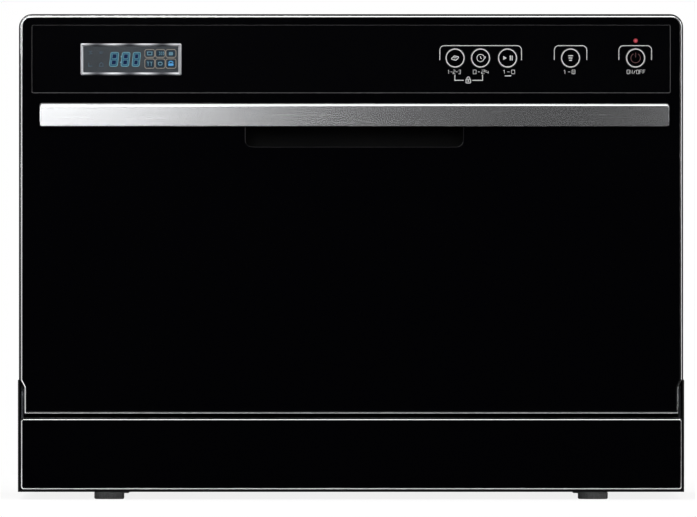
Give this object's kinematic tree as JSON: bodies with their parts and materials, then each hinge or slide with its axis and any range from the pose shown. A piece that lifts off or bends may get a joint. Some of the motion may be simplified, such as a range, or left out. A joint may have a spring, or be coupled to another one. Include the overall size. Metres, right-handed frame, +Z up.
{
  "type": "countertop dishwasher",
  "caption": "Countertop dishwasher with a drop-down front door, control console, handle strip, sliding wire rack, spray arm and plinth on short feet.",
  "frame": {"origin": "on the worktop under the middle of the machine's box", "axes": "+X to the right seen from the front, -Y the front, +Z up"},
  "size_m": [0.55, 0.5, 0.4013],
  "materials": {
    "black_steel": "gloss powder coat",
    "rear_steel": "satin paint",
    "base_plastic": "moulded polypropylene",
    "door_gloss": "high-gloss black enamel",
    "plinth_gloss": "gloss black",
    "bright_trim": "polished trim",
    "stainless": "fine brushed",
    "seal_rubber": "soft extruded",
    "dark_plastic": "moulded",
    "grey_plastic": "moulded",
    "white_plastic": "moulded",
    "pump_body": "painted casting",
    "hose_rubber": "smooth hose",
    "zinc_steel": "zinc plated",
    "hinge_steel": "painted steel",
    "console_gloss": "gloss acrylic",
    "display_lens": "tinted lens with lit segments",
    "lamp_red": "diffusing red lens",
    "handle_metal": "long-grain brushed",
    "board_green": "printed board",
    "button_gloss": "gloss cap with printed ring",
    "foot_rubber": "moulded rubber",
    "rack_nylon": "nylon coated wire",
    "basket_plastic": "moulded",
    "float_foam": "foam"
  },
  "bodies": {
    "cabinet": {"outer_wrap": "black_steel", "rear_panel": "rear_steel", "base_tray": "base_plastic", "plinth_panel": "plinth_gloss", "plinth_edge_trim": "bright_trim", "hinge_covers": "dark_plastic", "tub": "stainless", "tub_gasket": "seal_rubber", "rack_runners": "stainless", "latch_strike": "zinc_steel", "sump": "dark_plastic", "filter_plate": "stainless", "spray_hub": "grey_plastic", "salt_reservoir": "white_plastic", "circulation_pump": "pump_body", "drain_pump": "dark_plastic", "inlet_valve": "white_plastic", "drain_outlet": "dark_plastic", "terminal_box": "dark_plastic", "internal_hoses": "hose_rubber", "float_switch": "dark_plastic", "hinge_brackets": "hinge_steel", "cabinet_screws": "zinc_steel", "rear_feet": "foot_rubber"},
    "door": {"door_outer_panel": "door_gloss", "door_edge_trim": "bright_trim", "door_frame": "black_steel", "door_inner_liner": "stainless", "console_panel": "console_gloss", "display_bezel": "bright_trim", "display_glass": "display_lens", "status_lamp": "lamp_red", "handle_strip": "handle_metal", "grip_pocket": "dark_plastic", "control_board": "board_green", "dispenser_body": "grey_plastic", "hinge_arms": "hinge_steel", "door_screws": "zinc_steel", "latch_housing": "dark_plastic"},
    "foot_left": {"front_foot_left": "foot_rubber"},
    "foot_right": {"front_foot_right": "foot_rubber"},
    "filter": {"filter_cup": "grey_plastic"},
    "softener_cap": {"salt_cap": "dark_plastic"},
    "spray": {"spray_arm": "grey_plastic"},
    "float": {"leak_float": "float_foam"},
    "latch": {"latch_hook": "zinc_steel"},
    "lid": {"dispenser_lid": "grey_plastic"},
    "rinse_cap": {"rinse_aid_cap": "dark_plastic"},
    "tablet_key": {"tablet_button": "button_gloss"},
    "delay_key": {"delay_button": "button_gloss"},
    "start_key": {"start_button": "button_gloss"},
    "programme_key": {"programme_button": "button_gloss"},
    "power_key": {"power_button": "button_gloss"},
    "rack": {"rack_basket": "rack_nylon", "rack_tines": "rack_nylon", "rack_brackets": "rack_nylon", "cutlery_basket": "basket_plastic"},
    "shelf": {"cup_shelf": "rack_nylon"},
    "front_wheels": {"front_rack_wheels": "grey_plastic"},
    "rear_wheels": {"rear_rack_wheels": "grey_plastic"}
  },
  "joints": [
    {"name": "door_hinge", "type": "hinge", "parent": "cabinet", "child": "door", "pos_m": [0, -0.2285, 0.085], "axis": [1, 0, 0], "range_deg": [0, 90]},
    {"name": "rack_slide", "type": "slide", "parent": "cabinet", "child": "rack", "axis": [0, -1, 0], "range_m": [0, 0.16]},
    {"name": "front_wheels_roll", "type": "hinge", "parent": "rack", "child": "front_wheels", "pos_m": [0, -0.085, 0.1308], "axis": [1, 0, 0], "range_deg": [0, 640]},
    {"name": "rear_wheels_roll", "type": "hinge", "parent": "rack", "child": "rear_wheels", "pos_m": [0, 0.085, 0.1308], "axis": [1, 0, 0], "range_deg": [0, 640]},
    {"name": "cup_shelf_fold", "type": "hinge", "parent": "rack", "child": "shelf", "pos_m": [-0.2146, 0, 0.2439], "axis": [0, -1, 0], "range_deg": [0, 85]},
    {"name": "tablet_press", "type": "slide", "parent": "door", "child": "tablet_key", "axis": [0, 1, 0], "range_m": [0, 0.0012], "stiffness_N_per_m": 600, "springref_m": -0.0006},
    {"name": "delay_press", "type": "slide", "parent": "door", "child": "delay_key", "axis": [0, 1, 0], "range_m": [0, 0.0012], "stiffness_N_per_m": 600, "springref_m": -0.0006},
    {"name": "start_press", "type": "slide", "parent": "door", "child": "start_key", "axis": [0, 1, 0], "range_m": [0, 0.0012], "stiffness_N_per_m": 600, "springref_m": -0.0006},
    {"name": "programme_press", "type": "slide", "parent": "door", "child": "programme_key", "axis": [0, 1, 0], "range_m": [0, 0.0012], "stiffness_N_per_m": 600, "springref_m": -0.0006},
    {"name": "power_press", "type": "slide", "parent": "door", "child": "power_key", "axis": [0, 1, 0], "range_m": [0, 0.0012], "stiffness_N_per_m": 600, "springref_m": -0.0006},
    {"name": "latch_swing", "type": "hinge", "parent": "door", "child": "latch", "pos_m": [0, -0.214, 0.3905], "axis": [1, 0, 0], "range_deg": [0, 5], "stiffness_Nm_per_rad": 1.5, "springref_deg": -17.19},
    {"name": "dispenser_lid_slide", "type": "slide", "parent": "door", "child": "lid", "axis": [1, 0, 0], "range_m": [0, 0.056]},
    {"name": "rinse_cap_turn", "type": "hinge", "parent": "door", "child": "rinse_cap", "pos_m": [0.081, -0.204, 0.229], "axis": [0, 1, 0], "range_deg": [0, 90]},
    {"name": "filter_turn", "type": "hinge", "parent": "cabinet", "child": "filter", "pos_m": [0.105, -0.0595, 0.1165], "axis": [0, 0, 1], "range_deg": [0, 40]},
    {"name": "salt_cap_turn", "type": "hinge", "parent": "cabinet", "child": "softener_cap", "pos_m": [-0.14, -0.0795, 0.1165], "axis": [0, 0, 1], "range_deg": [0, 270]},
    {"name": "spray_arm_spin", "type": "hinge", "parent": "cabinet", "child": "spray", "pos_m": [0, 0.0045, 0.1165], "axis": [0, 0, 1], "continuous": true},
    {"name": "float_lift", "type": "slide", "parent": "cabinet", "child": "float", "axis": [0, 0, 1], "range_m": [0, 0.008]},
    {"name": "front_foot_left_turn", "type": "hinge", "parent": "cabinet", "child": "foot_left", "pos_m": [-0.2, -0.21, 0], "axis": [0, 0, 1], "range_deg": [-180, 180]},
    {"name": "front_foot_right_turn", "type": "hinge", "parent": "cabinet", "child": "foot_right", "pos_m": [0.2, -0.21, 0], "axis": [0, 0, 1], "range_deg": [-180, 180]}
  ],
  "couplings": [
    {"joint": "rack_slide", "follows": "door_hinge", "m_per_rad": 0.098},
    {"joint": "front_wheels_roll", "follows": "door_hinge", "ratio": 7},
    {"joint": "rear_wheels_roll", "follows": "door_hinge", "ratio": 7}
  ]
}
